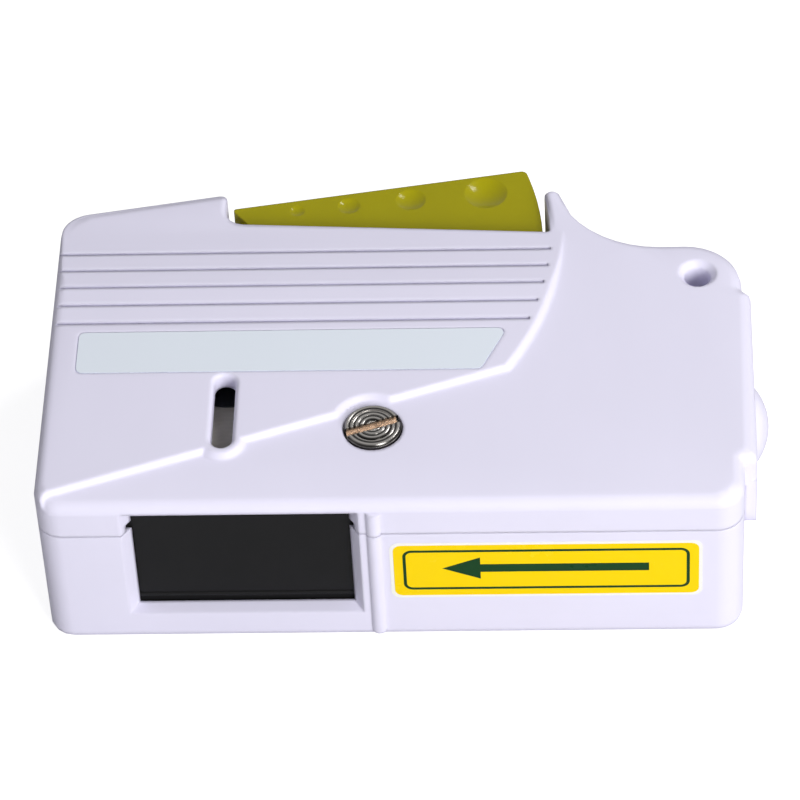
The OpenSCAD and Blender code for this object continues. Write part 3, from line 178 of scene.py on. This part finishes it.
def plastic(name, color, rough, grain=0.35, grain_depth=0.004, tint=0.03, edge=0.12, coat=0.0, translucent=0.0,
            scuffs=0.0, shine=0.3):
    """Moulded plastic: spark-eroded grain, faint flow marks, softened edges and a few rubbed places."""
    m = Nodes(name)
    flow = m.noise(45, 4, 0.6, m.mapped((1, 0.35, 1)))
    body = m.mix(m.span(flow, 0.0, 1.0), scaled(color, 1 - tint), scaled(color, 1 + tint))
    fine = m.noise(1 / (grain * MM), 2, 0.55)
    rubbed = m.noise(160, 6, 0.7)
    m.set(Base_Color=body, Roughness=m.span(rubbed, rough - 0.05, rough + 0.06))
    height = fine
    if scuffs:
        lines = m.noise(900, 2, 0.5, m.mapped((0.08, 1, 1), (0, 0, 0.5)))
        height = m.math("MULTIPLY_ADD", m.ramp(lines, [(0.64, (0, 0, 0)), (0.7, (1, 1, 1))]), -scuffs, fine)
    m.set(Normal=m.bump(height, 1.0, grain_depth * MM, m.rounded(edge * MM)))
    m.bsdf.inputs["Coat Weight"].default_value = coat
    m.bsdf.inputs["Coat Roughness"].default_value = COAT_ROUGHNESS
    m.bsdf.inputs["IOR"].default_value = PLASTIC_IOR
    m.bsdf.inputs["Specular IOR Level"].default_value = shine
    if translucent:
        m.bsdf.inputs["Subsurface Weight"].default_value = translucent
        m.bsdf.inputs["Subsurface Radius"].default_value = DEPTH_OF_LIGHT
        m.bsdf.inputs["Subsurface Scale"].default_value = 1.0
    return m


def metal(name, color, rough, along=(1, 1, 0.04), edge=0.06):
    """Drawn or turned metal, with fine lines along one axis."""
    m = Nodes(name)
    lines = m.noise(5200, 3, 0.7, m.mapped(along))
    stain = m.noise(260, 4, 0.6)
    m.set(Base_Color=m.mix(m.span(stain, 0.0, 1.0), scaled(color, 0.9), scaled(color, 1.06)),
          Roughness=m.span(lines, rough - 0.08, rough + 0.1), Metallic=1.0,
          Normal=m.bump(lines, 1.0, LATHE_LINES, m.rounded(edge * MM)))
    return m


def turned(name, color, floor_color, rough, x, y, z_floor, r_rim, pitch=0.22, depth=0.006):
    """Metal turned on a lathe round an axis along Z, its face painted with alternating dark and bright ring
    reflections, with a plain milled floor below z_floor inside r_rim.
    """
    m = Nodes(name)
    radius = m.radius_at(x, y)
    rings = m.math("SINE", m.math("MULTIPLY", radius, 2 * math.pi / (pitch * MM)))
    height = m.add("SeparateXYZ", Vector=m.coord).outputs[2]
    turned_side = m.math("MAXIMUM", m.math("GREATER_THAN", height, z_floor),
                         m.math("GREATER_THAN", radius, r_rim))
    stain = m.noise(420, 4, 0.65)
    # Painted reflection: the face colour swings between near-black and bright with the lathe rings; only the
    # ring bumps are real
    ring_shine = m.math("MULTIPLY_ADD", rings, 0.5, 0.5)
    face = m.mix(ring_shine, scaled(color, 0.05), scaled(color, 0.85))
    m.set(Base_Color=m.mix(turned_side, floor_color, face),
          Roughness=m.span(stain, rough - 0.06, rough + 0.1), Metallic=1.0,
          Normal=m.bump(m.math("MULTIPLY", rings, turned_side), 1.0, depth * MM, m.rounded(MACHINED_EDGE)))
    return m


def wound(name, color, x, y, layer=0.3):
    """A roll of tape: turns show as fine rings on the sides, and the cloth's weave on the outside."""
    m = Nodes(name)
    radius = m.radius_at(x, y)
    turns = m.math("SINE", m.math("MULTIPLY", radius, 2 * math.pi / (layer * MM)))
    wander = m.noise(700, 3, 0.6)
    band = m.math("MULTIPLY_ADD", turns, 0.3, m.math("MULTIPLY", wander, 0.6))
    weave = m.noise(4200, 2, 0.5, m.mapped((1, 1, 1.6)))
    m.set(Base_Color=m.mix(m.span(band, 0.0, 1.0), scaled(color, 0.82), scaled(color, 1.04)), Roughness=0.9,
          Normal=m.bump(m.math("ADD", turns, weave), 1.0, THREAD_DEPTH))
    return m


def cloth(name, color):
    """Lint-free wiping cloth: two crossing sets of threads."""
    m = Nodes(name)
    waves = []
    for turn in ((0, 0, 0), (0, math.pi / 2, 0)):
        wave = m.add("TexWave", {"bands_direction": "Z"}, Vector=m.mapped(turn=turn), Scale=900, Distortion=1.5,
                     Detail=2.0, Detail_Scale=2.0)
        waves.append(wave.outputs[1])
    weave = m.math("ADD", waves[0], waves[1])
    m.set(Base_Color=m.mix(m.span(m.noise(300, 3), 0.0, 1.0), scaled(color, 0.92), scaled(color, 1.03)),
          Roughness=0.92, Normal=m.bump(weave, 0.6, THREAD_DEPTH))
    m.bsdf.inputs["Sheen Weight"].default_value = 0.2
    return m


def dress(material, *names):
    for name in names:
        obj = nodes[name]
        obj.data.materials.clear()
        obj.data.materials.append(material.mat)


# Shared places, from the imported parts' bounds
def middle(node):
    low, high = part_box(node)
    return (low + high) / 2


SLOT_BELOW = 0.5 * MM
SCREW_RIM = 0.35 * MM
screw_at = middle("coin_screw")
screw_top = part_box("coin_screw")[1].z
screw_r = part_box("coin_screw")[1].x - screw_at.x
supply_at = middle("supply_roll")
takeup_at = middle("takeup_roll")

SHELL = srgb(229, 226, 245)
dress(plastic("shell_rear", SHELL, 0.42, tint=0.012, edge=0.7, scuffs=0.2), "rear_case")
dress(plastic("shell_cover", SHELL, 0.4, tint=0.012, edge=0.9, scuffs=0.2), "front_cover")
dress(plastic("shell_button", SHELL, 0.36, tint=0.012, edge=0.25), "latch_button")
dress(plastic("lever_olive", srgb(162, 154, 0), 0.15, grain=0.5, grain_depth=0.002, tint=0.05, edge=0.4,
              coat=0.03, translucent=0.15, shine=0.2), "lever")
dress(plastic("shutter_black", srgb(26, 26, 27), 0.34, grain=0.25, grain_depth=0.003, tint=0.08, edge=0.1,
              shine=0.16), "shutter")
dress(plastic("sticker_yellow", srgb(250, 213, 0), 0.24, grain=0.8, grain_depth=0.001, tint=0.01, edge=0.03,
              coat=0.06, shine=0.12), "arrow_sticker")
dress(plastic("label_film", srgb(226, 233, 243), 0.42, grain=0.5, grain_depth=0.001, tint=0.006, edge=0.04,
              shine=0.2), "name_plate")
dress(plastic("acetal_natural", srgb(236, 233, 222), 0.34, tint=0.02, edge=0.08, translucent=0.3),
      "shutter_rack", "drive_gear", "guide_roller_left", "guide_roller_right")
dress(plastic("acetal_blue", srgb(196, 214, 236), 0.34, tint=0.03, edge=0.08, translucent=0.2), "ratchet_gear")
dress(plastic("reel_dark", srgb(58, 62, 68), 0.36, tint=0.06, edge=0.1), "takeup_hub", "takeup_reel",
      "supply_reel")
dress(plastic("pawl_orange", srgb(226, 128, 42), 0.32, tint=0.04, edge=0.06, translucent=0.15), "pawl_ring",
      "backstop_pawl")
dress(plastic("frame_grey", srgb(200, 204, 212), 0.4, tint=0.03, edge=0.12), "cartridge_frame",
      "supply_spindle")
dress(plastic("pad_rubber", srgb(82, 84, 88), 0.8, grain=0.18, grain_depth=0.02, tint=0.1, edge=0.2),
      "backing_pad")
# The coin screw's face carries painted ring reflections in its colour
dress(turned("screw_head", srgb(196, 192, 188), srgb(196, 178, 162), 0.2, screw_at.x, screw_at.y,
             screw_top - SLOT_BELOW, screw_r - SCREW_RIM, 0.8, 0.04), "coin_screw")
dress(metal("steel_pins", srgb(196, 196, 200), 0.26), "lever_pin", "gear_pin", "takeup_axle", "roller_pins",
      "frame_screws", "screw_retainer")
dress(metal("spring_steel", srgb(176, 176, 182), 0.3, along=(0.2, 0.2, 1)), "lever_spring", "latch_spring")
dress(metal("brass_insert", srgb(214, 178, 96), 0.3), "screw_insert")
dress(wound("roll_clean", srgb(240, 236, 226), supply_at.x, supply_at.y), "supply_roll")
dress(wound("roll_used", srgb(220, 214, 200), takeup_at.x, takeup_at.y), "takeup_roll")
dress(cloth("tape_cloth", srgb(244, 242, 236)), "tape")


# Pieces of a node's own shape that shade as one surface
SMOOTH_BELOW = math.radians(32)
WELD = 0.001 * MM


def soften(mesh):
    """Shades faces that meet at a small angle as one curved surface, large flats first."""
    around, corners = {}, []
    for face in mesh.polygons:
        spots = [mesh.vertices[v].co for v in face.vertices]
        for i, v in enumerate(face.vertices):
            to_last, to_next = spots[i - 1] - spots[i], spots[(i + 1) % len(spots)] - spots[i]
            share = face.area * (to_last.angle(to_next) if to_last.length and to_next.length else 0.0)
            around.setdefault(v, []).append((face.normal.copy(), share))
            corners.append((v, face.normal.copy()))
    same = math.cos(SMOOTH_BELOW)
    normals = []
    for v, normal in corners:
        total = sum((other * share for other, share in around[v] if normal.dot(other) > same), Vector())
        normals.append(total.normalized() if total.length else normal)
    for face in mesh.polygons:
        face.use_smooth = True
    mesh.normals_split_custom_set(normals)


def stand_in(name, node):
    """A piece in a node's place, with its shape and finish and smoother shading."""
    mesh = nodes[node].data.copy()
    mesh.name = name
    old = mesh.attributes.get("custom_normal")
    if old:
        mesh.attributes.remove(old)
    bm = bmesh.new()
    bm.from_mesh(mesh)
    bmesh.ops.remove_doubles(bm, verts=bm.verts[:], dist=WELD)
    bm.to_mesh(mesh)
    bm.free()
    soften(mesh)
    obj = bpy.data.objects.new(name, mesh)
    bpy.context.scene.collection.objects.link(obj)
    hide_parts(node)
    return obj


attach(stand_in("rear_case_shell", "rear_case"), "base")
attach(stand_in("front_cover_shell", "front_cover"), "cover")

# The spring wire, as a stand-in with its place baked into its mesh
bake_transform(stand_in("lever_spring_wire", "lever_spring"))

# The latch's leaf, as a stand-in on the base with a mesh of its own
leaf = stand_in("latch_spring_leaf", "latch_spring")
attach(leaf, "base")
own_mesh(leaf)


# Flat prints on the sticker, as thin closed plates
def corner_arc(x, y, r, start, steps=8):
    angles = [start + k * math.pi / 2 / steps for k in range(steps + 1)]
    return [(x + r * math.cos(a), y + r * math.sin(a)) for a in angles]


def round_box(x0, z0, x1, z1, r):
    return (corner_arc(x1 - r, z0 + r, r, -math.pi / 2) + corner_arc(x1 - r, z1 - r, r, 0)
            + corner_arc(x0 + r, z1 - r, r, math.pi / 2) + corner_arc(x0 + r, z0 + r, r, math.pi))


def plate(name, outer, y_front, thick, material, body, hole=None):
    """A plate in the XZ plane from an outline, facing -Y, with an inner outline of as many points cut out."""
    bm = bmesh.new()

    def ring(points, y):
        return [bm.verts.new((px, y, pz)) for px, pz in points]

    front, back = ring(outer, y_front), ring(outer, y_front + thick)
    n = len(outer)
    if hole:
        front_in, back_in = ring(hole, y_front), ring(hole, y_front + thick)
    for i in range(n):
        j = (i + 1) % n
        bm.faces.new((front[i], back[i], back[j], front[j]))
        if hole:
            bm.faces.new((front_in[j], back_in[j], back_in[i], front_in[i]))
            bm.faces.new((front[i], front[j], front_in[j], front_in[i]))
            bm.faces.new((back[j], back[i], back_in[i], back_in[j]))
    if not hole:
        bm.faces.new(front)
        bm.faces.new(back[::-1])
    bmesh.ops.recalc_face_normals(bm, faces=bm.faces[:])
    mesh = bpy.data.meshes.new(name)
    bm.to_mesh(mesh)
    bm.free()
    obj = bpy.data.objects.new(name, mesh)
    bpy.context.scene.collection.objects.link(obj)
    mesh.materials.append(material.mat)
    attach(obj, body)
    return obj


PRINT_T = 0.02 * MM
FILM_MARGIN = 0.6 * MM
FILM_CORNER = 1.6 * MM
FILM_BACK, FILM_T = 0.06 * MM, 0.05 * MM
FILM_HOLE_IN, FILM_HOLE_CORNER = MM, 0.6 * MM
LINE_IN = 1.5 * MM
LINE_W = 0.52 * MM
LINE_CORNER = 1.5 * MM
LINE_LOW, LINE_HIGH = 0.1 * MM, 0.4 * MM
ARROW_TIP, ARROW_NECK, ARROW_TAIL = 7.9 * MM, 14.1 * MM, 41.5 * MM
ARROW_MIDDLE, HEAD_HALF, SHAFT_HALF = 6.5 * MM, 2.57 * MM, 0.92 * MM

film = plastic("sticker_film", srgb(244, 243, 240), 0.25, grain=0.8, grain_depth=0.001, tint=0.01, edge=0.02,
               coat=0.4)
ink = plastic("print_green", srgb(26, 66, 36), 0.3, grain=0.15, grain_depth=0.001, tint=0.08, edge=0.02,
              shine=0.1)
sticker_low, sticker_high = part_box("arrow_sticker")
x0, z0, x1, z1 = sticker_low.x, sticker_low.z, sticker_high.x, sticker_high.z
face_y = sticker_low.y - PRINT_T

rim = round_box(x0 - FILM_MARGIN, z0 - FILM_MARGIN, x1 + FILM_MARGIN, z1 + FILM_MARGIN, FILM_CORNER)
rim_hole = round_box(x0 + FILM_HOLE_IN, z0 + FILM_HOLE_IN, x1 - FILM_HOLE_IN, z1 - FILM_HOLE_IN,
                     FILM_HOLE_CORNER)
rim_y = sticker_high.y - FILM_BACK
plate("sticker_film_margin", rim, rim_y, FILM_T, film, "base", rim_hole)

left, right = x0 + LINE_IN, x1 - LINE_IN
low, high = z0 + LINE_IN - LINE_LOW, z1 - LINE_IN + LINE_HIGH
line = round_box(left, low, right, high, LINE_CORNER)
line_hole = round_box(left + LINE_W, low + LINE_W, right - LINE_W, high - LINE_W, LINE_CORNER - LINE_W)
plate("sticker_outline", line, face_y, PRINT_T, ink, "base", line_hole)

tip_x, neck_x, tail_x = x0 + ARROW_TIP, x0 + ARROW_NECK, x0 + ARROW_TAIL
mid_z = z0 + ARROW_MIDDLE
arrow = [(tip_x, mid_z), (neck_x, mid_z - HEAD_HALF), (neck_x, mid_z - SHAFT_HALF),
         (tail_x, mid_z - SHAFT_HALF), (tail_x, mid_z + SHAFT_HALF), (neck_x, mid_z + SHAFT_HALF),
         (neck_x, mid_z + HEAD_HALF)]
plate("sticker_arrow", arrow, face_y, PRINT_T, ink, "base")


# Floor, world and lamps
def lamp(name, at, aim, size, watts, color=(1, 1, 1)):
    data = bpy.data.lights.new(name, "AREA")
    data.shape = "DISK"
    data.size = size
    data.energy = watts
    data.color = color
    obj = bpy.data.objects.new(name, data)
    bpy.context.scene.collection.objects.link(obj)
    obj.location = at
    obj.rotation_mode = "QUATERNION"
    obj.rotation_quaternion = (Vector(aim) - Vector(at)).to_track_quat("-Z", "Y")
    return obj


FLOOR_HALF = 3.0
FLOOR_SQUARES = 12
FLOOR_DROP = 0.05 * MM
FLOOR_COLOR = (0.55, 0.55, 0.56, 1)
FLOOR_GLOW = 0.8
WORLD_LIT, WORLD_SEEN, WORLD_MIRRORED = 0.25, 1.0, 0.45
WHITE = (1, 1, 1, 1)
bm = bmesh.new()
bmesh.ops.create_grid(bm, x_segments=FLOOR_SQUARES, y_segments=FLOOR_SQUARES, size=FLOOR_HALF)
mesh = bpy.data.meshes.new("floor")
bm.to_mesh(mesh)
bm.free()
floor = bpy.data.objects.new("floor", mesh)
bpy.context.scene.collection.objects.link(floor)
floor.location.z = -FLOOR_DROP
f = Nodes("floor_white")
path = f.add("LightPath")
seen = f.math("MAXIMUM", path.outputs["Is Camera Ray"], path.outputs["Is Transmission Ray"])
f.set(Roughness=0.9, Base_Color=FLOOR_COLOR)
f.bsdf.inputs["Specular IOR Level"].default_value = 0.0
f.bsdf.inputs["Emission Color"].default_value = WHITE
f.put(f.bsdf.inputs["Emission Strength"], f.math("MULTIPLY", seen, FLOOR_GLOW))
mesh.materials.append(f.mat)

world = bpy.data.worlds.new("studio")
bpy.context.scene.world = world
world.use_nodes = True
tree = world.node_tree
back = tree.nodes["Background"]
rays = tree.nodes.new("ShaderNodeLightPath")
both = tree.nodes.new("ShaderNodeMath")
both.operation = "MAXIMUM"
mirrored = tree.nodes.new("ShaderNodeMath")
mirrored.operation = "MULTIPLY"
mirrored.inputs[1].default_value = WORLD_MIRRORED
tree.links.new(rays.outputs["Is Glossy Ray"], mirrored.inputs[0])
tree.links.new(rays.outputs["Is Camera Ray"], both.inputs[0])
tree.links.new(mirrored.outputs[0], both.inputs[1])
level = tree.nodes.new("ShaderNodeMapRange")
level.inputs["To Min"].default_value = WORLD_LIT
level.inputs["To Max"].default_value = WORLD_SEEN
tree.links.new(both.outputs[0], level.inputs["Value"])
tree.links.new(level.outputs[0], back.inputs["Strength"])
back.inputs["Color"].default_value = WHITE

AIM = (0.0, 0.0, 0.015)
lamp("key", (0.5, -0.82, 0.47), AIM, 0.5, 9.6)
lamp("right", (0.45, 0.05, 0.65), AIM, 0.35, 1.3)
lamp("top", (0.36, 0.4, 0.75), AIM, 0.17, 1.2)
lamp("left", (-0.9, -0.2, 0.6), AIM, 0.5, 0.6, (0.96, 0.96, 1.0))

bpy.context.scene.view_settings.view_transform = "Standard"
